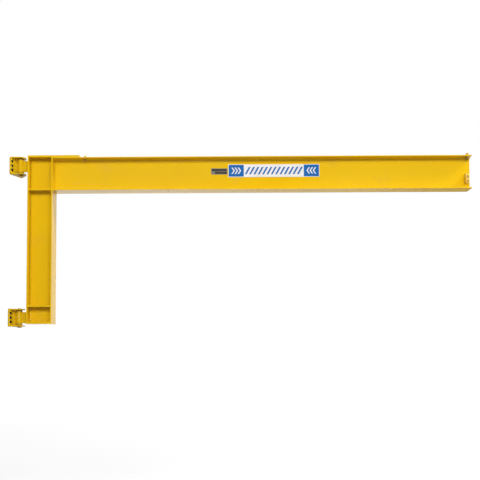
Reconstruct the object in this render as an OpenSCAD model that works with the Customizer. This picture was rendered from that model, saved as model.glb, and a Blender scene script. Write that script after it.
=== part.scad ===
// Wall-mounted cantilever jib crane: an I-beam boom welded to an H-section mast,
// which swings on two pinned hinge brackets bolted to a wall.
// Millimetres, +Z up, boom along +X. The origin is the centre of the lower
// bracket's wall face.

/* [Boom] */
// Length of the boom beam, from the mast to its tip
boom_len = 3190; // [900:1:4500]
// Depth of the boom beam
boom_h = 254; // [150:1:400]
// Width of the boom's flanges
boom_w = 118; // [80:1:150]
// Thickness of the boom's web
boom_web = 8; // [5:0.5:14]
// Thickness of the boom's flanges, half way along their outstand
boom_flange = 12.5; // [9:0.5:20]
// Run of the tapered flange for each millimetre of its rise
taper_run = 6; // [5:0.5:20]
// Radius of the fillet between the boom's web and flanges
boom_fillet = 8; // [3:0.5:12]
// Radius of the boom's flange toes
toe_r = 4; // [1:0.5:5]

/* [Mast] */
// Length of the mast column, between its two end plates
mast_h = 1260; // [900:1:2500]
// Depth of the mast section, along the boom
mast_d = 190; // [120:1:320]
// Width of the mast's flanges
mast_w = 118; // [80:1:150]
// Thickness of the mast's flanges
mast_flange = 9; // [6:0.5:16]
// Thickness of the mast's web
mast_web = 7; // [5:0.5:12]
// Radius of the fillet between the mast's web and flanges
mast_fillet = 9; // [4:0.5:14]
// Thickness of the cap and base plates
plate_t = 15; // [8:0.5:20]
// How far the cap plate laps over the boom's top flange
cap_lap = 208; // [80:1:400]
// Thickness of the stiffeners
stiff_t = 12; // [8:0.5:16]
// Height of the lower stiffeners' underside above the base plate
stiff_low = 115; // [60:1:220]
// Corner cut that clears the stiffeners from the mast's fillets
stiff_snipe = 16; // [15:1:24]
// Inset of the stiffeners behind the mast's flange edges
stiff_inset = 2; // [0:0.5:8]

/* [Hinges] */
// Height of the lower hinge's centre above the base plate's top
hinge_low = 36; // [30:1:200]
// Depth of the upper hinge's centre below the mast's top
hinge_top = 56; // [46:1:200]
// Distance from the pin to the mast
pin_to_mast = 70; // [62:1:110]
// Outer radius of the hinge barrels
barrel_r = 22; // [18:0.5:26]
// Radius of the hinge pins
pin_r = 10; // [8:0.5:12]
// Wall thickness of the bushings
bush_t = 3; // [2:0.5:4]
// Length of each bushing inside its barrel
bush_len = 32; // [16:1:40]
// Thickness of the bushings' flanges
bush_flange_t = 3; // [2:0.5:6]
// Outer radius of the bushings' flanges
bush_flange_r = 19; // [17:0.5:22]
// Height of the lugs between barrel and mast
lug_h = 86; // [40:1:90]
// Thickness of the lugs
lug_t = 14; // [8:1:24]

/* [Wall brackets] */
// Turn of the brackets about their pins, from the boom's line
bracket_turn = 24; // [-80:1:80]
// Distance from the wall to the pin
pin_reach = 52; // [44:1:90]
// Width of the wall plates
wall_plate_w = 136; // [130:1:200]
// Thickness of the wall plates
wall_plate_t = 14; // [8:0.5:18]
// Corner radius of the wall plates
wall_plate_r = 12; // [2:0.5:20]
// Thickness of the ears
ear_t = 8; // [6:0.5:16]
// Clear height between the ears
ear_gap = 118; // [96:1:140]
// Width of the ears where they meet the wall plate
ear_root = 124; // [100:1:128]
// Radius of the ears' nose about the pin
ear_nose_r = 40; // [28:1:42]
// Ledge of the wall plate above and below the ears
plate_ledge = 2; // [0:0.5:10]
// Radius of the wall bolt holes
bolt_r = 8.5; // [6:0.5:10]
// Half the spacing of the two bolt columns
bolt_col = 53; // [44:1:54]
// Spacing of the bolt rows
bolt_row = 33; // [26:1:35]

/* [Hinge pins] */
// Width of the pin heads across their flats
head_af = 30; // [26:1:36]
// Height of the pin heads
head_h = 9; // [8:0.5:16]
// How far the pins stand out above the top ears
pin_stand = 5.5; // [5:0.5:12]
// Thickness of the retaining rings
ring_t = 2; // [1.5:0.5:3]
// Outer radius of the retaining rings
ring_r = 13.5; // [13:0.5:16]

/* [Trolley stops] */
// Height of the trolley stops
stop_h = 72; // [50:1:90]
// Width of the stops' leg on the web
stop_leg = 36; // [30:1:50]
// How far the stops stand out from the web
stop_out = 45; // [30:1:48]
// Thickness of the stops
stop_t = 6; // [4:0.5:10]
// Height of the stops' lower end above the boom's underside
stop_low = 48; // [36:1:60]
// Distance from the stops' leg to the boom's tip
stop_end = 4; // [2:1:40]

/* [Cable lugs] */
// Distance of the inner lug from the mast
lug_in = 240; // [225:1:600]
// Distance of the outer lug from the tip
lug_out = 32; // [24:1:200]
// Turn of the outer lug about its bolt
lug_turn = 35; // [0:5:60]
// Width of the cable lugs
tab_w = 24; // [20:1:30]
// Height of the cable lugs above the boom
tab_h = 26; // [22:1:40]
// Thickness of the cable lugs
tab_t = 5; // [3:0.5:8]
// Length of the lugs' foot on the flange
tab_foot = 28; // [24:1:40]
// Radius of the eye in the lugs' upright
eye_r = 5; // [3:0.5:6]
// Radius of the bolt hole in the lugs' foot
tab_bolt_r = 4.5; // [3:0.5:5]

/* [Clearances] */
// Radial clearance of a pin in its bushings
run_fit = 0.05; // [0.01:0.01:0.1]
// Radial clearance of a pin in its ears
ear_fit = 0.15; // [0.05:0.05:0.5]
// Radial gap at a pressed or welded round seat
seat_gap = 0.05; // [0.02:0.01:0.2]
// Gap between the bushings' flanges and the ears
thrust_gap = 0.3; // [0.1:0.1:1]

/* [Hidden] */
$fn = 64;

safety_yellow = "#E8B50C";
bronze = "#A9803E";
zinc = "#9A9B9C";

// Heights: the lower hinge's centre is at zero
hinge_span = mast_h - hinge_low - hinge_top;
mast_foot = -hinge_low;
mast_head = mast_foot + mast_h;
boom_low = mast_head - boom_h;

// Plan: the pin axis, and the boom's line through it
pin_x = pin_reach * cos(bracket_turn);
pin_y = -pin_reach * sin(bracket_turn);
mast_x = pin_x + pin_to_mast;
boom_x = mast_x + mast_d;
tip_x = boom_x + boom_len;

// Hinge: the barrel and its two bushing flanges fill the gap between the ears
barrel_h = ear_gap - 2 * (bush_flange_t + thrust_gap);
bush_r = pin_r + run_fit + bush_t;
ear_top = ear_gap / 2 + ear_t;
wall_plate_h = 2 * (ear_top + plate_ledge);
groove_r = pin_r - 1;

// Distance of the cable lugs' bolts from the boom's centre line
lug_gauge = (boom_w + boom_web) / 4;

// A rectangle about its centre, with round corners
module rounded_plate(w, h, r) {
  square([w - 2 * r, h], center = true);
  square([w, h - 2 * r], center = true);
  for (i = [-1, 1], j = [-1, 1])
    translate([i * (w / 2 - r), j * (h / 2 - r)])
      circle(r);
}

// Carries its children to a bracket: wall face on the local YZ plane, pin at +X
module at_bracket(z) {
  translate([0, 0, z])
    rotate([0, 0, -bracket_turn])
      children();
}

// Carries its children to the pin axis at a height
module at_pin(z) {
  translate([pin_x, pin_y, z])
    children();
}

module wall_plate(z) {
  color(safety_yellow)
    at_bracket(z)
      rotate([90, 0, 90])
        linear_extrude(wall_plate_t)
          difference() {
            rounded_plate(wall_plate_w, wall_plate_h, wall_plate_r);
            for (i = [-1, 1], j = [-1, 0, 1])
              translate([i * bolt_col, j * bolt_row])
                circle(bolt_r);
          }
}

// Plan of an ear about the pin: flanks run from the plate tangent to the nose
module ear_outline() {
  back = pin_reach - wall_plate_t;
  half = ear_root / 2;
  flank = atan2(half, -back) - acos(ear_nose_r / norm([half, back]));
  nose = ear_nose_r * [cos(flank), sin(flank)];
  difference() {
    union() {
      circle(ear_nose_r);
      polygon([[-back, -half], [nose.x, -nose.y], [nose.x, nose.y], [-back, half]]);
    }
    translate([-back - 2 * ear_nose_r, -half])
      square([2 * ear_nose_r, 2 * half]);
    circle(pin_r + ear_fit);
  }
}

module ear(z) {
  color(safety_yellow)
    at_bracket(z)
      translate([pin_reach, 0, 0])
        linear_extrude(ear_t)
          ear_outline();
}

module top_ear(z) {
  ear(z + ear_gap / 2);
}

module bottom_ear(z) {
  ear(z - ear_top);
}

// Headed pin, pushed up from below and held by a ring in its groove
module hinge_pin(z) {
  head_z = -ear_top - thrust_gap;
  chamfer = 1;
  color(safety_yellow)
    at_pin(z)
      difference() {
        union() {
          translate([0, 0, head_z])
            cylinder(r = pin_r, h = ear_top + pin_stand - chamfer - head_z);
          translate([0, 0, ear_top + pin_stand - chamfer])
            cylinder(r1 = pin_r, r2 = pin_r - chamfer, h = chamfer);
          translate([0, 0, head_z - head_h])
            intersection() {
              cylinder(d = head_af / cos(30), h = head_h, $fn = 6);
              cylinder(r1 = head_af / 2 - 1, r2 = head_af / 2 - 1 + head_h, h = head_h);
            }
        }
        translate([0, 0, ear_top])
          difference() {
            cylinder(r = pin_r + 1, h = ring_t + seat_gap);
            translate([0, 0, -1])
              cylinder(r = groove_r, h = ring_t + 2);
          }
      }
}

// Open retaining ring with two plier eyes at its gap
module pin_ring(z) {
  inner = groove_r + seat_gap;
  eye_at = 16;
  color(zinc)
    at_pin(z + ear_top)
      linear_extrude(ring_t)
        difference() {
          union() {
            circle(ring_r);
            for (a = [-eye_at, eye_at])
              rotate(a)
                translate([ring_r, 0])
                  circle(2.5);
          }
          circle(inner);
          polygon([[0, 0], 2 * ring_r * [cos(8), sin(8)], 2 * ring_r * [cos(8), -sin(8)]]);
          for (a = [-eye_at, eye_at])
            rotate(a)
              translate([ring_r, 0])
                circle(1);
        }
}

module hinge_barrel(z) {
  color(safety_yellow)
    at_pin(z - barrel_h / 2)
      difference() {
        cylinder(r = barrel_r, h = barrel_h);
        translate([0, 0, -1])
          cylinder(r = bush_r + seat_gap, h = barrel_h + 2);
      }
}

// Two flanged bushings, pressed in from the barrel's ends
module hinge_bushings(z) {
  color(bronze)
    at_pin(z)
      for (side = [0, 1])
        mirror([0, 0, side])
          difference() {
            union() {
              translate([0, 0, barrel_h / 2 - bush_len])
                cylinder(r = bush_r, h = bush_len);
              translate([0, 0, barrel_h / 2])
                cylinder(r = bush_flange_r, h = bush_flange_t);
            }
            translate([0, 0, barrel_h / 2 - bush_len - 1])
              cylinder(r = pin_r + run_fit, h = bush_len + bush_flange_t + 2);
          }
}

// Plate between barrel and mast, coped round the barrel
module hinge_lug(z) {
  color(safety_yellow)
    at_pin(z - lug_h / 2)
      linear_extrude(lug_h)
        difference() {
          translate([0, -lug_t / 2])
            square([pin_to_mast, lug_t]);
          circle(barrel_r + seat_gap);
        }
}

// H section about its centre, flanges across X
module mast_outline() {
  inside = mast_d / 2 - mast_flange;
  difference() {
    union() {
      square([mast_d, mast_web], center = true);
      for (i = [-1, 1])
        translate([i * (mast_d - mast_flange) / 2, 0])
          square([mast_flange, mast_w], center = true);
      for (i = [-1, 1], j = [-1, 1])
        translate([i * (inside - mast_fillet / 2), j * (mast_web + mast_fillet) / 2])
          square(mast_fillet, center = true);
    }
    for (i = [-1, 1], j = [-1, 1])
      translate([i * (inside - mast_fillet), j * (mast_web / 2 + mast_fillet)])
        circle(mast_fillet);
  }
}

module mast_column() {
  color(safety_yellow)
    translate([mast_x + mast_d / 2, pin_y, mast_foot])
      linear_extrude(mast_h)
        mast_outline();
}

module mast_base_plate() {
  color(safety_yellow)
    translate([mast_x, pin_y - mast_w / 2, mast_foot - plate_t])
      cube([mast_d, mast_w, plate_t]);
}

module mast_cap_plate() {
  color(safety_yellow)
    translate([mast_x, pin_y - mast_w / 2, mast_head])
      cube([mast_d + cap_lap, mast_w, plate_t]);
}

// One stiffener between the mast's flanges, with its inner corners cut;
// side is -1 at the front and 1 at the back
module stiffener(z, side) {
  span = mast_d / 2 - mast_flange;
  root = mast_web / 2;
  edge = mast_w / 2 - stiff_inset;
  color(safety_yellow)
    translate([mast_x + mast_d / 2, pin_y, z])
      linear_extrude(stiff_t)
        scale([1, side])
          polygon([
            [-span, edge], [-span, root + stiff_snipe], [-span + stiff_snipe, root],
            [span - stiff_snipe, root], [span, root + stiff_snipe], [span, edge]
          ]);
}

// Half height of the boom's inside at a distance from its centre line
function boom_inside(y) =
  boom_h / 2 - boom_flange + (y - (boom_w + boom_web) / 4) / taper_run;

// I section about its centre, with tapered flanges, root fillets and round toes
module boom_outline() {
  half = boom_w / 2;
  web = boom_web / 2;
  lean = sqrt(1 + 1 / pow(taper_run, 2));
  fillet_at = [web + boom_fillet, boom_inside(web + boom_fillet) - boom_fillet * lean];
  toe_at = [half - toe_r, boom_inside(half - toe_r) + toe_r * lean];
  normal = [-1 / taper_run, 1] / lean;
  for (i = [0, 1], j = [0, 1])
    mirror([i, 0])
      mirror([0, j]) {
        difference() {
          polygon([
            [0, 0], [web, 0], [web, fillet_at.y], fillet_at, fillet_at + boom_fillet * normal,
            toe_at - toe_r * normal, toe_at, [half, toe_at.y], [half, boom_h / 2], [0, boom_h / 2]
          ]);
          translate(fillet_at)
            circle(boom_fillet);
        }
        translate(toe_at)
          circle(toe_r);
      }
}

module boom_beam() {
  color(safety_yellow)
    translate([boom_x, pin_y, boom_low + boom_h / 2])
      rotate([90, 0, 90])
        linear_extrude(boom_len)
          boom_outline();
}

// Bolted angle that stops a trolley's wheels; side is -1 at the front, 1 at the back
module trolley_stop(side) {
  color(safety_yellow)
    translate([tip_x - stop_end, pin_y, boom_low + stop_low])
      scale([-1, side, 1])
        translate([0, boom_web / 2, 0])
          difference() {
            union() {
              cube([stop_leg, stop_t, stop_h]);
              translate([stop_leg - stop_t, 0, 0])
                cube([stop_t, stop_out, stop_h]);
            }
            for (k = [0.25, 0.75])
              translate([(stop_leg - stop_t) / 2, -1, k * stop_h])
                rotate([-90, 0, 0])
                  cylinder(r = 5.5, h = stop_t + 2);
          }
}

// Bent tab with an eye, standing on the top flange about its bolt hole
module cable_lug(x, turn) {
  eye_z = tab_h - tab_w / 2;
  color(safety_yellow)
    translate([x, pin_y - lug_gauge, mast_head])
      rotate([0, 0, turn]) {
        difference() {
          translate([-tab_foot / 2, -tab_w / 2, 0])
            cube([tab_foot, tab_w, tab_t]);
          translate([0, 0, -1])
            cylinder(r = tab_bolt_r, h = tab_t + 2);
        }
        translate([tab_foot / 2 - tab_t, 0, 0])
          rotate([90, 0, 90])
            linear_extrude(tab_t)
              difference() {
                union() {
                  translate([-tab_w / 2, 0])
                    square([tab_w, eye_z]);
                  translate([0, eye_z])
                    circle(tab_w / 2);
                }
                translate([0, eye_z])
                  circle(eye_r);
              }
      }
}

wall_plate(0);  // lower_wall_plate
bottom_ear(0);  // lower_bottom_ear
top_ear(0);  // lower_top_ear
hinge_pin(0);  // lower_hinge_pin
pin_ring(0);  // lower_pin_ring
wall_plate(hinge_span);  // upper_wall_plate
bottom_ear(hinge_span);  // upper_bottom_ear
top_ear(hinge_span);  // upper_top_ear
hinge_pin(hinge_span);  // upper_hinge_pin
pin_ring(hinge_span);  // upper_pin_ring
hinge_barrel(0);  // lower_hinge_barrel
hinge_bushings(0);  // lower_hinge_bushings
hinge_lug(0);  // lower_hinge_lug
hinge_barrel(hinge_span);  // upper_hinge_barrel
hinge_bushings(hinge_span);  // upper_hinge_bushings
hinge_lug(hinge_span);  // upper_hinge_lug
mast_column();
mast_base_plate();
mast_cap_plate();
stiffener(mast_foot + stiff_low, -1);  // lower_stiffener_front
stiffener(mast_foot + stiff_low, 1);  // lower_stiffener_back
stiffener(boom_low, -1);  // upper_stiffener_front
stiffener(boom_low, 1);  // upper_stiffener_back
boom_beam();
trolley_stop(-1);  // trolley_stop_front
trolley_stop(1);  // trolley_stop_back
cable_lug(boom_x + lug_in, 0);  // inner_cable_lug
cable_lug(tip_x - lug_out, lug_turn);  // outer_cable_lug
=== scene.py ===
import bpy
import bmesh
import math
from mathutils import Matrix, Vector


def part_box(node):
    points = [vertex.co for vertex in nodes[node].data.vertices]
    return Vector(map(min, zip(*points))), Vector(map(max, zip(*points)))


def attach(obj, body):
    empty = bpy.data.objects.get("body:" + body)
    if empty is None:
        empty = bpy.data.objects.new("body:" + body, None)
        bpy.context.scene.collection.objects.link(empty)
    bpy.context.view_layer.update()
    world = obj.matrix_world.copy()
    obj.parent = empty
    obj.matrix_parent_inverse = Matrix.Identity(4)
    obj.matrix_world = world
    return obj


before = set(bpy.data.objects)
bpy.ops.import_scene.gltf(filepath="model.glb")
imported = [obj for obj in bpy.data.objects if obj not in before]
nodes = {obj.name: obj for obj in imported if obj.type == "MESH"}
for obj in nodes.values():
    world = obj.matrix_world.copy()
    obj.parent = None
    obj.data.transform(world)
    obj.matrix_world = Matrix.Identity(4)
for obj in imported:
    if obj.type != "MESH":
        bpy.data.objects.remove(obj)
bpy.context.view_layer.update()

scene = bpy.context.scene

# Where the steelwork stands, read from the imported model. Metres throughout.
boomLow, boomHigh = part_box("boom_beam")
mastLow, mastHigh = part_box("mast_column")
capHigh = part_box("mast_cap_plate")[1]
barrelBoxes = [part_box("lower_hinge_barrel"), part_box("upper_hinge_barrel")]
stiffenerBoxes = [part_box("lower_stiffener_front"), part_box("upper_stiffener_front")]
webY = (boomLow.y + boomHigh.y) / 2
pinX = (barrelBoxes[0][0].x + barrelBoxes[0][1].x) / 2
hingeZ = [(low.z + high.z) / 2 for low, high in barrelBoxes]

# Sizes of the sections and plates that the boxes don't give
steel = {
    "boomWeb": 0.008, "boomFlange": 0.0125, "taperRun": 6.0, "boomFillet": 0.008,
    "mastFlange": 0.009, "mastWeb": 0.007, "mastFillet": 0.009, "snipe": 0.016,
    "turn": math.radians(24), "wallPlate": 0.014, "earGap": 0.118, "earRoot": 0.124, "earThick": 0.008,
    "boltColumn": 0.053, "boltRow": 0.033, "boltHole": 0.0085, "lugThick": 0.014, "lugHeight": 0.086, "barrel": 0.022,
    "stopThick": 0.006, "stopHoleIn": 0.015, "cableLugIn": 0.240, "cableLugOut": 0.032, "cableLugThick": 0.005,
}
halfWeb = steel["boomWeb"] / 2


def boomInside(y):  # height of the tapered flange's inner face above the boom's middle
    halfDepth = (boomHigh.z - boomLow.z) / 2
    halfWay = (boomHigh.y - boomLow.y + steel["boomWeb"]) / 4
    return halfDepth - steel["boomFlange"] + (y - halfWay) / steel["taperRun"]


# Small helpers for node trees
def wire(tree, socket, value):
    if isinstance(value, bpy.types.NodeSocket):
        tree.links.new(value, socket)
    elif value is not None:
        socket.default_value = value


def put(tree, kind, fields=None, **inputs):
    node = tree.nodes.new(kind)
    for key, value in (fields or {}).items():
        setattr(node, key, value)
    for key, value in inputs.items():
        wire(tree, node.inputs[key.replace("_", " ")], value)
    return node


def calc(tree, operation, a, b=None, clamp=False):
    node = put(tree, "ShaderNodeMath", {"operation": operation, "use_clamp": clamp})
    wire(tree, node.inputs[0], a)
    wire(tree, node.inputs[1], b)
    return node.outputs[0]


def times(tree, a, b, clamp=False):
    return calc(tree, "MULTIPLY", a, b, clamp)


def vectorCalc(tree, operation, a, b=None):
    node = put(tree, "ShaderNodeVectorMath", {"operation": operation})
    wire(tree, node.inputs[0], a)
    wire(tree, node.inputs[1], b)
    return node.outputs["Value" if operation in ("DOT_PRODUCT", "LENGTH", "DISTANCE") else "Vector"]


def remap(tree, value, low, high, toLow=0.0, toHigh=1.0):
    node = put(tree, "ShaderNodeMapRange", {"clamp": True})
    for socket, item in zip(node.inputs[:5], (value, low, high, toLow, toHigh)):
        wire(tree, socket, item)
    return node.outputs["Result"]


def blendColour(tree, factor, a, b):
    node = put(tree, "ShaderNodeMix", {"data_type": "RGBA"})
    wire(tree, node.inputs["Factor"], factor)
    wire(tree, node.inputs[6], a)
    wire(tree, node.inputs[7], b)
    return node.outputs[2]


def noise(tree, vector, scale, detail=2.0, rough=0.5, seed=0.0):
    node = put(tree, "ShaderNodeTexNoise", {"noise_dimensions": "4D"})
    for key, item in (("Vector", vector), ("Scale", scale), ("Detail", detail), ("Roughness", rough), ("W", seed)):
        wire(tree, node.inputs[key], item)
    return node.outputs["Fac"]


number, vector = "NodeSocketFloat", "NodeSocketVector"
geometry, coating = "NodeSocketGeometry", "NodeSocketMaterial"
socketKinds = {float: number, int: "NodeSocketInt", tuple: vector}


def newGroup(name, treeType, inputs, outputs):  # an input is given by its socket type or by its usual value
    tree = bpy.data.node_groups.new(name, treeType)
    for label, value in inputs.items():
        kind = value if isinstance(value, str) else socketKinds[type(value)]
        socket = tree.interface.new_socket(name=label, in_out="INPUT", socket_type=kind)
        if kind != value:
            socket.default_value = value
    for label, kind in outputs.items():
        tree.interface.new_socket(name=label, in_out="OUTPUT", socket_type=kind)
    return tree, tree.nodes.new("NodeGroupInput").outputs, tree.nodes.new("NodeGroupOutput").inputs


# Effects that several finishes share
def makePaintDrift():
    tree, given, result = newGroup("paintDrift", "ShaderNodeTree", {
        "Vector": vector, "Scale": 3.0, "Seed": 0.0}, {"Broad": number, "Cloud": number})
    wire(tree, result["Broad"], noise(tree, given["Vector"], given["Scale"], 1.5, 0.45, given["Seed"]))
    finer = times(tree, given["Scale"], 9.0)
    wire(tree, result["Cloud"], noise(tree, given["Vector"], finer, 4.0, 0.6, given["Seed"]))
    return tree


def makeEnamelGrain():
    tree, given, result = newGroup("enamelGrain", "ShaderNodeTree", {
        "Vector": vector, "Stretch": (1.0, 1.0, 1.0), "Peel Scale": 320.0, "Roll Scale": 45.0, "Roll Share": 0.5,
        "Seed": 0.0}, {"Height": number})
    peel = noise(tree, given["Vector"], given["Peel Scale"], 1.0, 0.4, given["Seed"])
    along = vectorCalc(tree, "MULTIPLY", given["Vector"], given["Stretch"])
    rolled = noise(tree, along, given["Roll Scale"], 3.0, 0.55, calc(tree, "ADD", given["Seed"], 3.7))
    kept = times(tree, peel, calc(tree, "SUBTRACT", 1.0, given["Roll Share"]))
    wire(tree, result["Height"], calc(tree, "ADD", kept, times(tree, rolled, given["Roll Share"])))
    return tree


def makeEdgeRub():
    tree, given, result = newGroup("edgeRub", "ShaderNodeTree", {
        "Vector": vector, "Radius": 0.002, "Break Scale": 60.0, "Amount": 0.5, "Seed": 0.0},
        {"Rub": number, "Bare": number, "Normal": vector})
    rounded = put(tree, "ShaderNodeBevel", {"samples": 4}, Radius=given["Radius"]).outputs["Normal"]
    flat = put(tree, "ShaderNodeNewGeometry").outputs["Normal"]
    lean = calc(tree, "SUBTRACT", 1.0, vectorCalc(tree, "DOT_PRODUCT", rounded, flat))
    edge = remap(tree, lean, 0.01, 0.22)
    patchy = noise(tree, given["Vector"], given["Break Scale"], 4.0, 0.65, given["Seed"])
    rub = times(tree, edge, remap(tree, patchy, 0.34, 0.66))
    wire(tree, result["Rub"], times(tree, rub, given["Amount"], True))
    chip = noise(tree, given["Vector"], times(tree, given["Break Scale"], 2.6), 3.0, 0.7, given["Seed"])
    bare = times(tree, edge, remap(tree, chip, 0.63, 0.68))
    wire(tree, result["Bare"], times(tree, bare, given["Amount"], True))
    wire(tree, result["Normal"], rounded)
    return tree


def makeDustFall():
    tree, given, result = newGroup("dustFall", "ShaderNodeTree", {
        "Vector": vector, "Scale": 14.0, "Amount": 0.4, "Seed": 0.0}, {"Mask": number})
    facing = put(tree, "ShaderNodeSeparateXYZ", Vector=put(tree, "ShaderNodeNewGeometry").outputs["Normal"])
    upward = remap(tree, facing.outputs["Z"], 0.35, 0.95)
    patches = remap(tree, noise(tree, given["Vector"], given["Scale"], 5.0, 0.62, given["Seed"]), 0.3, 0.72)
    speck = remap(tree, noise(tree, given["Vector"], 900.0, 1.0, 0.5, given["Seed"]), 0.6, 0.75, 0.0, 0.35)
    settled = times(tree, upward, calc(tree, "ADD", patches, speck))
    wire(tree, result["Mask"], times(tree, settled, given["Amount"], True))
    return tree


def makeScuffs():
    tree, given, result = newGroup("scuffs", "ShaderNodeTree", {
        "Vector": vector, "Scale": 9.0, "Width": 0.04, "Amount": 0.5, "Seed": 0.0}, {"Mask": number})
    total = None
    for turn, stretch in (((0.3, 0.9, 0.2), (1.0, 1.0, 9.0)), ((1.2, 0.4, 1.0), (8.0, 1.0, 1.0))):
        turned = put(tree, "ShaderNodeMapping", {"vector_type": "POINT"}, Vector=given["Vector"],
                     Rotation=turn, Scale=stretch)
        bent = put(tree, "ShaderNodeTexVoronoi", {"voronoi_dimensions": "4D", "feature": "DISTANCE_TO_EDGE"},
                   Vector=turned.outputs[0], Scale=given["Scale"], W=given["Seed"])
        line = remap(tree, bent.outputs["Distance"], 0.0, given["Width"], 1.0, 0.0)
        total = line if total is None else calc(tree, "MAXIMUM", total, line)
    patchy = noise(tree, given["Vector"], times(tree, given["Scale"], 0.7), 3.0, 0.6, given["Seed"])
    rare = times(tree, total, remap(tree, patchy, 0.56, 0.7))
    wire(tree, result["Mask"], times(tree, rare, given["Amount"], True))
    return tree


def makeGreaseNear():
    tree, given, result = newGroup("greaseNear", "ShaderNodeTree", {
        "Vector": vector, "Centre": (0.0, 0.0, 0.0), "Squash": (1.0, 1.0, 1.0), "Reach": 0.05, "Seed": 0.0},
        {"Mask": number})
    offset = vectorCalc(tree, "SUBTRACT", given["Vector"], given["Centre"])
    away = vectorCalc(tree, "LENGTH", vectorCalc(tree, "MULTIPLY", offset, given["Squash"]))
    ragged = noise(tree, given["Vector"], 55.0, 4.0, 0.65, given["Seed"])
    edge = calc(tree, "ADD", away, times(tree, calc(tree, "SUBTRACT", ragged, 0.5), given["Reach"]))
    wire(tree, result["Mask"], remap(tree, calc(tree, "DIVIDE", edge, given["Reach"]), 1.0, 0.35))
    return tree


def makeHoleShade():  # painted shade inside the wall plates' bolt holes and in a ring round them, partly the bare steel of the bores
    tree, given, result = newGroup("holeShade", "ShaderNodeTree", {
        "Vector": vector, "Along": (0.0, 1.0, 0.0), "Column": 0.05, "Row": 0.03, "Level Low": 0.0, "Level High": 1.0,
        "Radius": 0.008, "Soft": 0.0006}, {"Mask": number})
    across = calc(tree, "ABSOLUTE", vectorCalc(tree, "DOT_PRODUCT", given["Vector"], given["Along"]))
    across = calc(tree, "SUBTRACT", across, given["Column"])
    height = put(tree, "ShaderNodeSeparateXYZ", Vector=given["Vector"]).outputs["Z"]
    rise = calc(tree, "MINIMUM", *[calc(tree, "ABSOLUTE", calc(tree, "SUBTRACT", height, given[level]))
                                   for level in ("Level Low", "Level High")])
    rise = calc(tree, "MINIMUM", rise, calc(tree, "ABSOLUTE", calc(tree, "SUBTRACT", rise, given["Row"])))
    away = vectorCalc(tree, "LENGTH", put(tree, "ShaderNodeCombineXYZ", X=across, Y=rise).outputs[0])
    edge = calc(tree, "ADD", given["Radius"], given["Soft"])
    wire(tree, result["Mask"], remap(tree, away, given["Radius"], edge, 1.0, 0.0))
    return tree


paintDrift, enamelGrain, edgeRub = makePaintDrift(), makeEnamelGrain(), makeEdgeRub()
dustFall, scuffs, greaseNear, holeShade = makeDustFall(), makeScuffs(), makeGreaseNear(), makeHoleShade()


def useGroup(tree, group, **inputs):
    return put(tree, "ShaderNodeGroup", {"node_tree": group}, **inputs).outputs


def newMaterial(name, seed):
    material = bpy.data.materials.new(name)
    material.use_nodes = True
    tree = material.node_tree
    place = tree.nodes.new("ShaderNodeTexCoord").outputs["Object"]

    def effect(group, **inputs):  # a shared effect on the piece's own coordinates
        return useGroup(tree, group, Vector=place, Seed=seed, **inputs)

    return material, tree, tree.nodes["Principled BSDF"], place, effect


def feedShader(tree, shader, s, tint, rough, height, normal=None):
    bump = put(tree, "ShaderNodeBump", Strength=s["bump"], Distance=s["bumpDepth"], Height=height, Normal=normal)
    wire(tree, shader.inputs["Base Color"], tint)
    wire(tree, shader.inputs["Roughness"], rough)
    wire(tree, shader.inputs["Normal"], bump.outputs["Normal"])


# Safety-yellow enamel over steel. Each kind of piece has its own wear.
enamelBase = {
    "paint": (0.775, 0.485, 0.0035, 1), "thin": (0.75, 0.452, 0.004, 1), "rubbed": (0.80, 0.51, 0.02, 1),
    "dirt": (0.36, 0.27, 0.13, 1), "bare": (0.19, 0.17, 0.16, 1), "greaseTint": (0.16, 0.09, 0.02, 1),
    "gloss": 0.24, "glossSpread": 0.16, "driftScale": 2.2, "stretch": (1.0, 1.0, 1.0),
    "peel": 300.0, "roll": 45.0, "rollShare": 0.45, "bump": 0.22, "bumpDepth": 0.0006,
    "edge": 0.0016, "rub": 0.4, "dust": 0.35, "scuff": 0.25, "greaseReach": 0.0, "greaseSquash": (1.0, 1.0, 1.6),
    "specular": 0.05, "coat": 1.0, "coatRough": 0.08, "coatIor": 1.36,
    # The hole keys set painted shade in the wall plates' bolt holes: how far round each hole it reaches, and its
    # near-black tone
    "holes": False, "boreShadeReach": 0.003, "boreShadeTone": (0.012, 0.006, 0.003, 1), "seed": 0.0,
}


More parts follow.
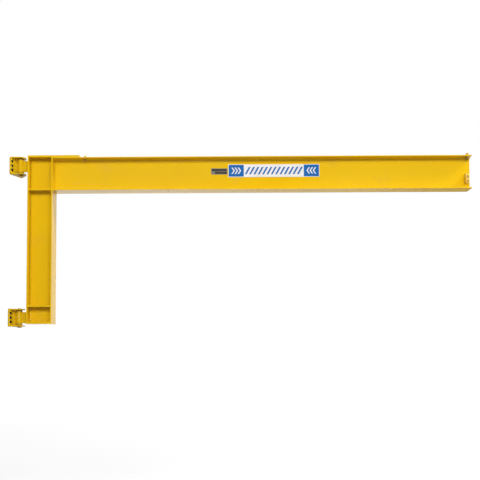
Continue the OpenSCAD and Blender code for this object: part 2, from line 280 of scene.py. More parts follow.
def enamel(name, **changes):
    s = dict(enamelBase, **changes)
    material, tree, shader, place, effect = newMaterial(name, s["seed"])
    drift = effect(paintDrift, Scale=s["driftScale"])
    tint = blendColour(tree, remap(tree, drift["Broad"], 0.3, 0.7), s["paint"], s["thin"])
    cloudy = remap(tree, drift["Cloud"], 0.35, 0.75, 0.0, 0.22)
    tint = blendColour(tree, cloudy, tint, s["thin"])
    edge = effect(edgeRub, Radius=s["edge"], Amount=s["rub"])
    tint = blendColour(tree, edge["Rub"], tint, s["rubbed"])
    dust = effect(dustFall, Amount=s["dust"])["Mask"]
    tint = blendColour(tree, dust, tint, s["dirt"])
    marks = effect(scuffs, Amount=s["scuff"])["Mask"]
    tint = blendColour(tree, marks, tint, s["dirt"])
    soiled = calc(tree, "MAXIMUM", dust, marks)
    rough = remap(tree, drift["Cloud"], 0.3, 0.75, s["gloss"], s["gloss"] + s["glossSpread"])
    rough = calc(tree, "ADD", rough, times(tree, soiled, 0.4))
    if s["greaseReach"]:
        smears = []
        for height in hingeZ:
            for side in (1, -1):
                end = Vector((pinX, webY, height + side * (steel["earGap"] / 2 - 0.002)))
                smears.append(effect(greaseNear, Centre=end, Squash=s["greaseSquash"], Reach=s["greaseReach"])["Mask"])
        while len(smears) > 1:
            smears.append(calc(tree, "MAXIMUM", smears.pop(0), smears.pop(0)))
        grease = times(tree, smears[0], 0.75)
        tint = blendColour(tree, grease, tint, s["greaseTint"])
        rough = calc(tree, "SUBTRACT", rough, times(tree, grease, 0.12))
    tint = blendColour(tree, edge["Bare"], tint, s["bare"])
    rough = calc(tree, "ADD", rough, times(tree, edge["Bare"], 0.25), True)
    worn = times(tree, edge["Rub"], 0.9, True)
    matt = calc(tree, "MAXIMUM", worn, times(tree, soiled, 0.7))
    # Painted shade: near-black in and round the wall plates' bolt holes, where the bores lie in shade, with the coat
    # taken off; partly the bare steel of the bores
    if s["holes"]:
        plateLine = (math.sin(steel["turn"]), math.cos(steel["turn"]), 0.0)
        boreShadeMask = useGroup(tree, holeShade, Vector=place, Along=plateLine, Column=steel["boltColumn"],
                          Row=steel["boltRow"], Level_Low=hingeZ[0], Level_High=hingeZ[1],
                          Radius=steel["boltHole"] + s["boreShadeReach"])["Mask"]
        tint = blendColour(tree, boreShadeMask, tint, s["boreShadeTone"])
        rough = calc(tree, "MAXIMUM", rough, times(tree, boreShadeMask, 0.9))
        matt = calc(tree, "MAXIMUM", matt, boreShadeMask)
    grain = effect(enamelGrain, Stretch=s["stretch"], Peel_Scale=s["peel"], Roll_Scale=s["roll"],
                   Roll_Share=s["rollShare"])["Height"]
    height = calc(tree, "SUBTRACT", grain, times(tree, calc(tree, "MAXIMUM", marks, edge["Bare"]), 0.5))
    feedShader(tree, shader, s, tint, rough, height, edge["Normal"])
    wire(tree, shader.inputs["Coat Weight"], remap(tree, matt, 0.0, 1.0, s["coat"], 0.0))
    shader.inputs["Specular IOR Level"].default_value = s["specular"]
    shader.inputs["Coat Roughness"].default_value = s["coatRough"]
    shader.inputs["Coat IOR"].default_value = s["coatIor"]
    return material


boomEnamel = enamel("boomEnamel", stretch=(0.07, 1.0, 1.0), seed=1.0, scuff=0.3)
mastEnamel = enamel("mastEnamel", paint=(0.76, 0.47, 0.004, 1), thin=(0.735, 0.44, 0.004, 1),
                    stretch=(1.0, 1.0, 0.09), seed=2.3, driftScale=3.0)
plateEnamel = enamel("plateEnamel", paint=(0.76, 0.47, 0.004, 1), roll=30.0, seed=3.1, driftScale=6.0, dust=0.45)
hingeEnamel = enamel("hingeEnamel", paint=(0.755, 0.47, 0.005, 1), seed=4.4, driftScale=11.0, rub=0.75,
                     greaseReach=0.040, peel=420.0)
bracketEnamel = enamel("bracketEnamel", paint=(0.80, 0.53, 0.008, 1), thin=(0.74, 0.465, 0.008, 1),
                       seed=5.2, driftScale=14.0, rub=0.8, greaseReach=0.046, scuff=0.3, glossSpread=0.22,
                       coat=0.12, holes=True)
# The pins' paint is mixed darker and more orange than the bracket's: painted shade for the pin heads, which sit in
# shade under the hinge ears
pinShadedEnamel = enamel("pinShadedEnamel", paint=(0.70, 0.38, 0.008, 1), thin=(0.62, 0.33, 0.012, 1), seed=6.7,
                   driftScale=30.0, rub=1.0, edge=0.0012, scuff=0.4, coat=0.15, greaseReach=0.034, peel=520.0)
fittingEnamel = enamel("fittingEnamel", paint=(0.80, 0.52, 0.02, 1), seed=7.9, driftScale=16.0,
                       rub=0.7, peel=420.0)
# The stops' paint is mixed paler and pinker than the boom's: a painted highlight for the strong light they catch
stopSheenEnamel = enamel("stopSheenEnamel", paint=(0.86, 0.60, 0.14, 1), thin=(0.82, 0.55, 0.10, 1), seed=9.4,
                    driftScale=18.0, rub=0.7, peel=420.0)
weldEnamel = enamel("weldEnamel", paint=(0.78, 0.49, 0.008, 1), seed=8.5, driftScale=25.0, edge=0.0008,
                    rub=0.3, bump=0.5, peel=520.0, roll=140.0, scuff=0.1)


# Zinc plate: bright on the pin rings, dulled by overspray on bolts, nuts and washers
zincLook = {
    "metal": 1.0, "bright": (0.60, 0.61, 0.62, 1), "dull": (0.40, 0.41, 0.43, 1), "tint": (0.62, 0.58, 0.45, 1),
    "oxide": (0.30, 0.29, 0.28, 1), "roughLow": 0.26, "roughHigh": 0.52, "driftScale": 60.0, "spangle": 700.0,
    "edge": 0.0006, "rub": 0.8, "dust": 0.5, "bump": 0.3, "bumpDepth": 0.0002, "seed": 11.0,
}


def makeZinc(name, **changes):
    s = dict(zincLook, **changes)
    material, tree, shader, place, effect = newMaterial(name, s["seed"])
    drift = effect(paintDrift, Scale=s["driftScale"])
    spangle = put(tree, "ShaderNodeTexVoronoi", {"feature": "F1"}, Vector=place, Scale=s["spangle"])
    tint = blendColour(tree, remap(tree, drift["Cloud"], 0.35, 0.65), s["bright"], s["dull"])
    tint = blendColour(tree, remap(tree, drift["Broad"], 0.45, 0.7, 0.0, 0.5), tint, s["tint"])
    edge = effect(edgeRub, Radius=s["edge"], Break_Scale=300.0, Amount=s["rub"])
    dust = effect(dustFall, Scale=90.0, Amount=s["dust"])["Mask"]
    tint = blendColour(tree, dust, tint, s["oxide"])
    tint = blendColour(tree, edge["Rub"], tint, s["bright"])
    grain = effect(enamelGrain, Stretch=(1.0, 1.0, 0.1), Peel_Scale=1500.0, Roll_Scale=420.0)["Height"]
    rough = remap(tree, drift["Cloud"], 0.3, 0.7, s["roughLow"], s["roughHigh"])
    crystal = put(tree, "ShaderNodeSeparateColor", Color=spangle.outputs["Color"]).outputs[0]
    rough = calc(tree, "ADD", rough, times(tree, crystal, 0.08))
    feedShader(tree, shader, s, tint, rough, grain, edge["Normal"])
    shader.inputs["Metallic"].default_value = s["metal"]
    return material


# Turned bronze for the bearing bushings, ringed about the pin
bronzeLook = {
    "metal": (0.52, 0.33, 0.11, 1), "dark": (0.26, 0.15, 0.05, 1), "oil": (0.10, 0.06, 0.02, 1), "rings": 2600.0,
    "driftScale": 40.0, "roughLow": 0.26, "roughHigh": 0.44, "bump": 0.25, "bumpDepth": 0.0002, "seed": 13.0,
}


def makeBronze(name):
    s = bronzeLook
    material, tree, shader, place, effect = newMaterial(name, s["seed"])
    centred = vectorCalc(tree, "SUBTRACT", place, Vector((pinX, webY, 0.0)))
    flat = vectorCalc(tree, "MULTIPLY", centred, (1.0, 1.0, 0.0))
    parts = put(tree, "ShaderNodeSeparateXYZ", Vector=centred)
    radial = put(tree, "ShaderNodeCombineXYZ", X=vectorCalc(tree, "LENGTH", flat), Y=parts.outputs["Z"])
    rings = noise(tree, radial.outputs[0], s["rings"], 2.0, 0.6, s["seed"])
    drift = effect(paintDrift, Scale=s["driftScale"])
    tint = blendColour(tree, remap(tree, drift["Cloud"], 0.4, 0.7), s["metal"], s["dark"])
    dust = effect(dustFall, Scale=70.0, Amount=0.6)["Mask"]
    tint = blendColour(tree, dust, tint, s["oil"])
    edge = effect(edgeRub, Radius=0.0006, Break_Scale=240.0, Amount=0.6)
    tint = blendColour(tree, edge["Rub"], tint, s["metal"])
    rough = remap(tree, rings, 0.3, 0.7, s["roughLow"], s["roughHigh"])
    feedShader(tree, shader, s, tint, rough, rings, edge["Normal"])
    shader.inputs["Metallic"].default_value = 1.0
    return material


# Printed vinyl and the small plate on the boom's web
vinylLook = {"scratch": (0.30, 0.25, 0.16, 1), "rim": (0.42, 0.36, 0.24, 1), "edge": 0.0012, "rub": 0.6, "scuff": 0.35,
             "glossSpread": 0.18, "bump": 0.2, "bumpDepth": 0.0004, "specular": 0.4}


def makeVinyl(name, ink, aged, gloss, seed):
    s = vinylLook
    material, tree, shader, place, effect = newMaterial(name, seed)
    drift = effect(paintDrift, Scale=12.0)
    tint = blendColour(tree, remap(tree, drift["Broad"], 0.35, 0.7), ink, aged)
    marks = effect(scuffs, Scale=16.0, Width=0.03, Amount=s["scuff"])["Mask"]
    tint = blendColour(tree, marks, tint, s["scratch"])
    edge = effect(edgeRub, Radius=s["edge"], Break_Scale=120.0, Amount=s["rub"])
    tint = blendColour(tree, edge["Rub"], tint, s["rim"])
    grain = effect(enamelGrain, Stretch=(0.1, 1.0, 1.0), Peel_Scale=500.0, Roll_Scale=60.0, Roll_Share=0.7)["Height"]
    rough = remap(tree, drift["Cloud"], 0.3, 0.7, gloss, gloss + s["glossSpread"])
    feedShader(tree, shader, s, tint, rough, grain)
    shader.inputs["Specular IOR Level"].default_value = s["specular"]
    return material


zinc = makeZinc("zincPlate")
paintedZinc = makeZinc("paintedZinc", bright=(0.46, 0.31, 0.10, 1), dull=(0.34, 0.21, 0.05, 1),
                       tint=(0.28, 0.17, 0.05, 1), oxide=(0.16, 0.10, 0.04, 1), roughLow=0.42, roughHigh=0.6,
                       metal=0.3)
bronze = makeBronze("bearingBronze")
whiteVinyl = makeVinyl("whiteVinyl", (0.80, 0.80, 0.81, 1), (0.74, 0.74, 0.74, 1), 0.32, 21.0)
blueVinyl = makeVinyl("blueVinyl", (0.004, 0.118, 0.42, 1), (0.008, 0.13, 0.40, 1), 0.30, 22.0)
tagMetal = makeVinyl("tagMetal", (0.22, 0.21, 0.19, 1), (0.16, 0.15, 0.13, 1), 0.30, 23.0)
tagField = makeVinyl("tagField", (0.035, 0.032, 0.028, 1), (0.05, 0.045, 0.04, 1), 0.34, 24.0)
print("materials made", len(bpy.data.materials))


# Finish of every carried-over part
finishes = {
    boomEnamel: ["boom_beam"],
    mastEnamel: ["mast_column"],
    plateEnamel: ["mast_base_plate", "mast_cap_plate", "lower_stiffener_front", "lower_stiffener_back",
                  "upper_stiffener_front", "upper_stiffener_back"],
    hingeEnamel: ["lower_hinge_barrel", "upper_hinge_barrel", "lower_hinge_lug", "upper_hinge_lug"],
    bracketEnamel: [f"{level}_{part}" for level in ("lower", "upper")
                    for part in ("wall_plate", "bottom_ear", "top_ear")],
    pinShadedEnamel: ["lower_hinge_pin", "upper_hinge_pin"],
    zinc: ["lower_pin_ring", "upper_pin_ring"],
    bronze: ["lower_hinge_bushings", "upper_hinge_bushings"],
    stopSheenEnamel: ["trolley_stop_front", "trolley_stop_back"],
    fittingEnamel: ["inner_cable_lug", "outer_cable_lug"],
}
for material, names in finishes.items():
    for name in names:
        for slot in nodes[name].material_slots:
            slot.material = material
print("parts finished", sum(len(names) for names in finishes.values()))


# Helpers for meshes
def meshObject(name, points, faces=(), edges=(), smooth=False):
    mesh = bpy.data.meshes.new(name)
    mesh.from_pydata([tuple(p) for p in points], list(edges), list(faces))
    mesh.update()
    if smooth:
        mesh.shade_smooth()
    made = bpy.data.objects.new(name, mesh)
    scene.collection.objects.link(made)
    return made


def closeUp(made, distance=1e-6):  # merges doubles and points the faces outwards
    shell = bmesh.new()
    shell.from_mesh(made.data)
    bmesh.ops.remove_doubles(shell, verts=shell.verts, dist=distance)
    bmesh.ops.recalc_face_normals(shell, faces=shell.faces)
    shell.to_mesh(made.data)
    shell.free()
    return made


def bake(made, name, body, tidy=True):  # evaluates the tree into a plain mesh that rides on a body
    bpy.context.view_layer.update()
    graph = bpy.context.evaluated_depsgraph_get()
    seen = made.evaluated_get(graph)
    mesh = bpy.data.meshes.new_from_object(seen, preserve_all_data_layers=False, depsgraph=graph)
    mesh.name = name
    piece = bpy.data.objects.new(name, mesh)
    scene.collection.objects.link(piece)
    bpy.data.objects.remove(made)
    if tidy:
        closeUp(piece)
    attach(piece, body)
    mesh.calc_loop_triangles()
    print("piece", name, len(mesh.loop_triangles), "triangles")
    return piece


def addTree(made, group, **values):  # hangs a tree on an object and sets its inputs by identifier
    modifier = made.modifiers.new(group.name, "NODES")
    modifier.node_group = group
    for item in group.interface.items_tree:
        label = item.name.replace(" ", "_")
        if item.item_type == "SOCKET" and item.in_out == "INPUT" and label in values:
            modifier[item.identifier] = values[label]


def endTree(tree, socket, geometry, finish):  # real geometry with its finish on
    solid = put(tree, "GeometryNodeRealizeInstances", Geometry=geometry)
    coated = put(tree, "GeometryNodeSetMaterial", Geometry=solid.outputs[0], Material=finish)
    wire(tree, socket, coated.outputs[0])


# A weld bead: a rippled tube along each joint line, sunk in the corner so that a convex fillet shows
def makeWeldTree():
    tree, given, result = newGroup("weldRun", "GeometryNodeTree", {
        "Lines": geometry, "Leg": 0.005, "Ripple Pitch": 0.003, "Ripple": 0.12, "Wander": 0.0006, "Sides": 8,
        "Seed": 0.0, "Finish": coating}, {"Beads": geometry})
    curves = put(tree, "GeometryNodeMeshToCurve", Mesh=given["Lines"])
    step = times(tree, given["Ripple Pitch"], 0.3)
    even = put(tree, "GeometryNodeResampleCurve", {"mode": "LENGTH"}, Curve=curves.outputs[0], Length=step)
    run = put(tree, "GeometryNodeSplineParameter").outputs["Length"]
    place = put(tree, "GeometryNodeInputPosition").outputs[0]
    rough = noise(tree, place, 130.0, 2.0, 0.6, given["Seed"])
    stage = calc(tree, "ADD", calc(tree, "DIVIDE", run, given["Ripple Pitch"]), times(tree, rough, 0.8))
    beat = calc(tree, "FRACT", stage)
    arch = calc(tree, "SINE", times(tree, calc(tree, "POWER", beat, 0.6), math.pi))
    swell = calc(tree, "ADD", 1.0, times(tree, calc(tree, "SUBTRACT", arch, 0.6), given["Ripple"]))
    swell = calc(tree, "ADD", swell, times(tree, calc(tree, "SUBTRACT", rough, 0.5), 0.5))
    wanderNoise = put(tree, "ShaderNodeTexNoise", {"noise_dimensions": "4D"}, Vector=place, Scale=70.0,
                      Detail=2.0, W=given["Seed"])
    centred = vectorCalc(tree, "SUBTRACT", wanderNoise.outputs["Color"], (0.5, 0.5, 0.5))
    shifted = put(tree, "ShaderNodeVectorMath", {"operation": "SCALE"}, Vector=centred)
    wire(tree, shifted.inputs["Scale"], times(tree, given["Wander"], 2.0))
    moved = put(tree, "GeometryNodeSetPosition", Geometry=even.outputs[0], Offset=shifted.outputs["Vector"])
    ring = put(tree, "GeometryNodeCurvePrimitiveCircle", Resolution=given["Sides"], Radius=1.0)
    tube = put(tree, "GeometryNodeCurveToMesh", Curve=moved.outputs[0], Profile_Curve=ring.outputs[0],
               Scale=times(tree, given["Leg"], swell), Fill_Caps=True)
    smooth = put(tree, "GeometryNodeSetShadeSmooth", Geometry=tube.outputs[0], Shade_Smooth=True)
    endTree(tree, result["Beads"], smooth.outputs[0], given["Finish"])
    return tree


weldRun = makeWeldTree()


def layWelds(name, lines, body, slot, finish, **sizes):
    points, edges = [], []
    for line in lines:
        start = len(points)
        points += line
        edges += [(start + i, start + i + 1) for i in range(len(line) - 1)]
    carrier = meshObject(name + "Lines", points, edges=edges)
    addTree(carrier, weldRun, Finish=finish, **sizes)
    return bake(carrier, name, body)


weldSizes = {
    "boom": {"Leg": 0.0052, "Ripple_Pitch": 0.0042, "Ripple": 0.16, "Wander": 0.0005, "Seed": 1.0},
    "frame": {"Leg": 0.0042, "Ripple_Pitch": 0.0036, "Ripple": 0.15, "Wander": 0.0004, "Seed": 2.0},
    "hinge": {"Leg": 0.0046, "Ripple_Pitch": 0.0036, "Ripple": 0.16, "Wander": 0.0005, "Seed": 3.0},
    "bracket": {"Leg": 0.0046, "Ripple_Pitch": 0.0038, "Ripple": 0.16, "Wander": 0.0005, "Seed": 4.0},
    "bracketSeal": {"Leg": 0.0017, "Ripple_Pitch": 0.0030, "Ripple": 0.12, "Wander": 0.0002, "Seed": 5.0},
}


# How far the beads stop short of the plates' edges
weldStops = {"boomToe": 0.008, "boomTaper": 0.030, "under": 0.007, "cap": 0.008, "mastToe": 0.006,
             "stiffenerToe": 0.010, "snipe": 0.002, "lug": 0.002, "ear": 0.004, "earEdge": 0.001}


def cornerArc(centre, radius, first, last, steps=4):  # quarter turn of a root fillet, in any two directions
    return [centre + radius * (first * math.cos(t) + last * math.sin(t))
            for t in (math.pi / 2 * i / steps for i in range(steps + 1))]


# Round the boom's end on the mast's flange, and under its bottom flange
boomWelds = []
middleZ = (boomLow.z + boomHigh.z) / 2
halfBoom = (boomHigh.y - boomLow.y) / 2
endX = boomLow.x
for side in (-1, 1):
    line = []
    reach = halfWeb + steel["boomFillet"]
    for level in (-1, 1):
        lower = [Vector((endX, webY + side * y, middleZ + level * boomInside(y)))
                 for y in (halfBoom - weldStops["boomToe"], halfBoom - weldStops["boomTaper"], reach)]
        centre = Vector((endX, webY + side * reach, middleZ + level * (boomInside(reach) - steel["boomFillet"])))
        arc = cornerArc(centre, steel["boomFillet"], Vector((0, 0, level)), Vector((0, -side, 0)))
        line += (lower + arc[1:]) if level < 0 else (arc[::-1][:-1] + lower[::-1])
    boomWelds.append(line)
for x, z, stop in ((endX, boomLow.z, weldStops["under"]), (capHigh.x, boomHigh.z, weldStops["cap"])):
    boomWelds.append([Vector((x, webY - halfBoom + stop, z)), Vector((x, webY + halfBoom - stop, z))])
layWelds("boomWeldBeads", boomWelds, "jib", "boom_paint", weldEnamel, **weldSizes["boom"])

# Inside the mast against its end plates, and round the stiffeners
frameWelds = []
innerLow, innerHigh = mastLow.x + steel["mastFlange"], mastHigh.x - steel["mastFlange"]
halfMast = (mastHigh.y - mastLow.y) / 2
webFace, fillet = steel["mastWeb"] / 2, steel["mastFillet"]
toe, edgeOut = halfMast - weldStops["mastToe"], halfMast - weldStops["stiffenerToe"]
cut = steel["snipe"] + weldStops["snipe"]
for z in (mastLow.z, mastHigh.z):
    for side in (-1, 1):
        at = lambda x, y: Vector((x, webY + side * y, z))
        lowArc = cornerArc(at(innerLow + fillet, webFace + fillet), fillet, Vector((-1, 0, 0)), Vector((0, -side, 0)))
        highArc = cornerArc(at(innerHigh - fillet, webFace + fillet), fillet, Vector((1, 0, 0)), Vector((0, -side, 0)))
        frameWelds.append([at(innerLow, toe)] + lowArc + highArc[::-1] + [at(innerHigh, toe)])
for low, high in stiffenerBoxes:
    for z in (low.z, high.z):
        for side in (-1, 1):
            at = lambda x, y: Vector((x, webY + side * y, z))
            frameWelds.append([at(innerLow, edgeOut), at(innerLow, webFace + cut)])
            frameWelds.append([at(innerHigh, edgeOut), at(innerHigh, webFace + cut)])
            frameWelds.append([at(innerLow + cut, webFace), at(innerHigh - cut, webFace)])
layWelds("frameWeldBeads", frameWelds, "jib", "mast_paint", weldEnamel, **weldSizes["frame"])

# Hinge lugs to the mast and to their barrels
hingeWelds = []
halfThick = steel["lugThick"] / 2
barrelX = pinX + math.sqrt(steel["barrel"] ** 2 - halfThick ** 2)
half = steel["lugHeight"] / 2 - weldStops["lug"]
for z in hingeZ:
    for side in (-1, 1):
        for x in (mastLow.x, barrelX):
            hingeWelds.append([Vector((x, webY + side * halfThick, z + way * half)) for way in (-1, 1)])
layWelds("hingeWeldBeads", hingeWelds, "jib", "bracket_paint", weldEnamel, **weldSizes["hinge"])

# Ears to the wall plates, in the brackets' own turned lines
out = Vector((math.cos(steel["turn"]), -math.sin(steel["turn"]), 0))
along = Vector((math.sin(steel["turn"]), math.cos(steel["turn"]), 0))
earWelds, sealWelds = [], []
half = steel["earRoot"] / 2 - weldStops["ear"]
for z in hingeZ:
    for side in (-1, 1):
        root = out * steel["wallPlate"] + Vector((0, 0, z + side * steel["earGap"] / 2))
        earWelds.append([root - along * half, root + along * half])
        outer = root + Vector((0, 0, side * steel["earThick"]))
        sealWelds.append([outer - along * half, outer + along * half])
        for end in (-1, 1):
            corner = root + along * end * steel["earRoot"] / 2
            sealWelds.append([corner + Vector((0, 0, side * rise))
                              for rise in (weldStops["earEdge"], steel["earThick"] - weldStops["earEdge"])])
layWelds("bracketWeldBeads", earWelds, "wall_brackets", "bracket_paint", weldEnamel, **weldSizes["bracket"])
layWelds("bracketSealBeads", sealWelds, "wall_brackets", "bracket_paint", weldEnamel, **weldSizes["bracketSeal"])

# Bolts, washers and nuts. Each is one closed shell per part, along its own Z,
# with the clamped plates from 0 down to -grip.
fastenerEdges = {"face": 0.0004, "washerOut": 0.0004, "washerIn": 0.0003, "threadIn": 0.002, "shankIn": 0.0005,
                 "threadDepth": 0.12}
fastenerSizes = {
    "stop": {"thread": 0.010, "flats": 0.017, "head": 0.0064, "nut": 0.0084, "pitch": 0.0015, "washer": 0.002,
             "washerAcross": 0.020, "grip": 0.020, "standOut": 0.0045, "bevelWasher": 0.0},
    "lug": {"thread": 0.008, "flats": 0.013, "head": 0.0053, "nut": 0.0068, "pitch": 0.00125, "washer": 0.0016,
            "washerAcross": 0.016, "grip": 0.0175, "standOut": 0.0035, "bevelWasher": 0.0035},
}


def addRings(points, faces, rings):  # joins rings of equal count and caps both ends
    start = len(points)
    count = len(rings[0])
    for ring in rings:
        points += ring
    for r in range(len(rings) - 1):
        for i in range(count):
            a, b = start + r * count + i, start + r * count + (i + 1) % count
            faces.append((a, b, b + count, a + count))
    faces.append(tuple(start + i for i in reversed(range(count))))
    faces.append(tuple(start + (len(rings) - 1) * count + i for i in range(count)))


def hexRing(flats, z, cone=None, base=0.0, count=36):  # a cone trims the corners into the usual curved chamfer
    ring = []
    for i in range(count):
        t = 2 * math.pi * i / count
        corner = flats / math.cos((t + math.pi / 6) % (math.pi / 3) - math.pi / 6)
        height = z if cone is None else z + math.copysign(1, cone) * -max(0.0, corner - base) * abs(cone)
        ring.append(Vector((corner * math.cos(t), corner * math.sin(t), height)))
    return ring


def roundRing(radius, z, count=36):
    turns = [2 * math.pi * i / count for i in range(count)]
    return [Vector((radius * math.cos(t), radius * math.sin(t), z)) for t in turns]


def threadRings(radius, depth, pitch, top, bottom, count=36):  # a helical V thread, run out at its end
    rings = []
    steps = max(2, round((top - bottom) / pitch * 6))
    for k in range(steps + 1):
        z = top + (bottom - top) * k / steps
        fade = min(1.0, (z - bottom) / pitch)
        ring = []
        for i in range(count):
            t = 2 * math.pi * i / count
            beat = (z / pitch + i / count) % 1.0
            r = radius - depth * (abs(2 * beat - 1) * fade + (1 - fade) * 1.3)
            ring.append(Vector((r * math.cos(t), r * math.sin(t), z)))
        rings.append(ring)
    return rings


def makeFastener(name, size):
    points, faces = [], []
    r, af, grip = size["thread"] / 2, size["flats"] / 2, size["grip"]
    thick, washR = size["washer"], size["washerAcross"] / 2
    lip, bevel, soft = fastenerEdges["face"], fastenerEdges["washerOut"], fastenerEdges["washerIn"]
    addRings(points, faces, [roundRing(washR - bevel, thick), roundRing(washR, thick - bevel),
                             roundRing(washR, soft), roundRing(washR - soft, 0.0)])
    head = thick + size["head"]
    addRings(points, faces, [roundRing(af * 0.93, head), hexRing(af, head, 0.5, af * 0.95),
                             hexRing(af, thick + lip), roundRing(af * 0.96, thick)])
    if size["bevelWasher"]:  # square washer that takes up the flange's taper
        corners = [(-washR, -washR), (washR, -washR), (washR, washR), (-washR, washR)]
        under = -grip - size["bevelWasher"]
        addRings(points, faces, [[Vector((x, y, -grip - y / steel["taperRun"])) for x, y in corners],
                                 [Vector((x, y, under)) for x, y in corners]])
    else:
        under = -grip - thick
        addRings(points, faces, [roundRing(washR - soft, -grip), roundRing(washR, -grip - soft),
                                 roundRing(washR, under + bevel), roundRing(washR - bevel, under)])
    nut = under - size["nut"]
    addRings(points, faces, [roundRing(af * 0.96, under), hexRing(af, under - lip),
                             hexRing(af, nut, -0.5, af * 0.95), roundRing(af * 0.93, nut)])
    run = nut + fastenerEdges["threadIn"]
    addRings(points, faces, [roundRing(r * 0.98, fastenerEdges["shankIn"]), roundRing(r * 0.98, run)])
    depth = r * fastenerEdges["threadDepth"]
    addRings(points, faces, threadRings(r, depth, size["pitch"], run, nut - size["standOut"]))
    return closeUp(meshObject(name, points, faces))


def makeFastenerTree():
    tree, given, result = newGroup("fastenerSet", "GeometryNodeTree", {
        "Seats": geometry, "Fastener": "NodeSocketObject", "Spin Low": 0.0, "Spin High": 1.0, "Seed": 1,
        "Finish": coating}, {"Fasteners": geometry})
    aim = put(tree, "GeometryNodeInputNamedAttribute", {"data_type": "FLOAT_VECTOR"}, Name="aim").outputs[0]
    facing = put(tree, "FunctionNodeAlignRotationToVector", {"axis": "Z"}, Vector=aim).outputs[0]
    spin = put(tree, "FunctionNodeRandomValue", {"data_type": "FLOAT"})
    wire(tree, spin.inputs[2], given["Spin Low"])
    wire(tree, spin.inputs[3], given["Spin High"])
    wire(tree, spin.inputs["Seed"], given["Seed"])
    turn = put(tree, "FunctionNodeAxisAngleToRotation", Angle=spin.outputs[1])
    turned = put(tree, "FunctionNodeRotateRotation", {"rotation_space": "LOCAL"}, Rotation=facing,
                 Rotate_By=turn.outputs[0])
    model = put(tree, "GeometryNodeObjectInfo", {"transform_space": "ORIGINAL"}, Object=given["Fastener"])
    placed = put(tree, "GeometryNodeInstanceOnPoints", Points=given["Seats"], Instance=model.outputs["Geometry"],
                 Rotation=turned.outputs[0])
    endTree(tree, result["Fasteners"], placed.outputs[0], given["Finish"])
    return tree


fastenerSet = makeFastenerTree()


def fitFasteners(name, model, seats, aims, body, slot, finish, **inputs):
    carrier = meshObject(name + "Seats", seats)
    aim = carrier.data.attributes.new("aim", "FLOAT_VECTOR", "POINT")
    aim.data.foreach_set("vector", [c for a in aims for c in a])
    addTree(carrier, fastenerSet, Fastener=model, Finish=finish, **inputs)
    piece = bake(carrier, name, body, tidy=False)
    bpy.data.objects.remove(model)
    return piece


# Two bolts through both trolley stops and the web between them
stopLow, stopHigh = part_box("trolley_stop_front")
stopX = stopHigh.x - steel["stopHoleIn"]
stopFace = webY - halfWeb - steel["stopThick"]
stopSeats = [Vector((stopX, stopFace, stopLow.z + k * (stopHigh.z - stopLow.z))) for k in (0.25, 0.75)]
fitFasteners("stopBolts", makeFastener("stopBoltModel", fastenerSizes["stop"]), stopSeats,
             [(0, -1, 0)] * len(stopSeats), "jib", "zinc", paintedZinc, Seed=3)

# One bolt under each cable lug, down through the tapered flange
lugY = webY - (halfBoom + halfWeb) / 2
lugSeats = [Vector((x, lugY, boomHigh.z + steel["cableLugThick"]))
            for x in (boomLow.x + steel["cableLugIn"], boomHigh.x - steel["cableLugOut"])]
fitFasteners("lugBolts", makeFastener("lugBoltModel", fastenerSizes["lug"]), lugSeats,
             [(0, 0, 1)] * len(lugSeats), "jib", "zinc", paintedZinc, Spin_Low=0.0, Spin_High=0.0, Seed=5)


# Marking on the web's front: a plain white band with slanted bars between two blue ends,
# and a blank plate beside it
markLook = {
    "start": mastHigh.x + 1.340, "length": 0.701, "height": 0.099, "drop": 0.048, "thick": 0.0005, "ink": 0.0003,
    "corner": 0.002, "softEdge": 0.0002, "endPanel": 0.120, "panelInset": 0.004,
    "bars": 13, "barMargin": 0.030, "barWidth": 0.014, "barHeight": 0.058, "slant": 0.55,
    "chevrons": 3, "chevronPitch": 0.024, "chevronWidth": 0.010, "chevronHeight": 0.050, "chevronBend": 0.7,
    "tagGap": 0.006, "tagLength": 0.126, "tagHeight": 0.048, "tagDrop": 0.030, "tagThick": 0.0008,
    "tagCorner": 0.003, "tagRim": 0.005, "tagInk": 0.0002,
    "tagFields": {"Upper": (0.005, 0.005, 0.022), "Lower": (0.030, 0.026, 0.043)},  # left, top and foot on the tag
}
faceY = webY - halfWeb


def flatPlate(name, x0, x1, z0, z1, back, front, finish, corner=markLook["corner"], body="jib"):
    outline = []
    for cx, cz, begin in ((x1 - corner, z1 - corner, 0), (x0 + corner, z1 - corner, 90),
                          (x0 + corner, z0 + corner, 180), (x1 - corner, z0 + corner, 270)):
        turns = [math.radians(begin + t) for t in range(0, 91, 15)]
        outline += [(cx + corner * math.cos(t), cz + corner * math.sin(t)) for t in turns]
    soft = min(markLook["softEdge"], (back - front) / 3)
    middleX, middleZ = (x0 + x1) / 2, (z0 + z1) / 2
    rings = [[Vector((x, y, z)) for x, z in outline] for y in (back, front + soft)]
    rings.append([Vector((x + (middleX - x) * soft / (x1 - x0) * 2, front, z + (middleZ - z) * soft / (z1 - z0) * 2))
                  for x, z in outline])
    points, faces = [], []
    addRings(points, faces, rings)
    plate = closeUp(meshObject(name, points, faces))
    plate.data.materials.append(finish)
    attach(plate, body)


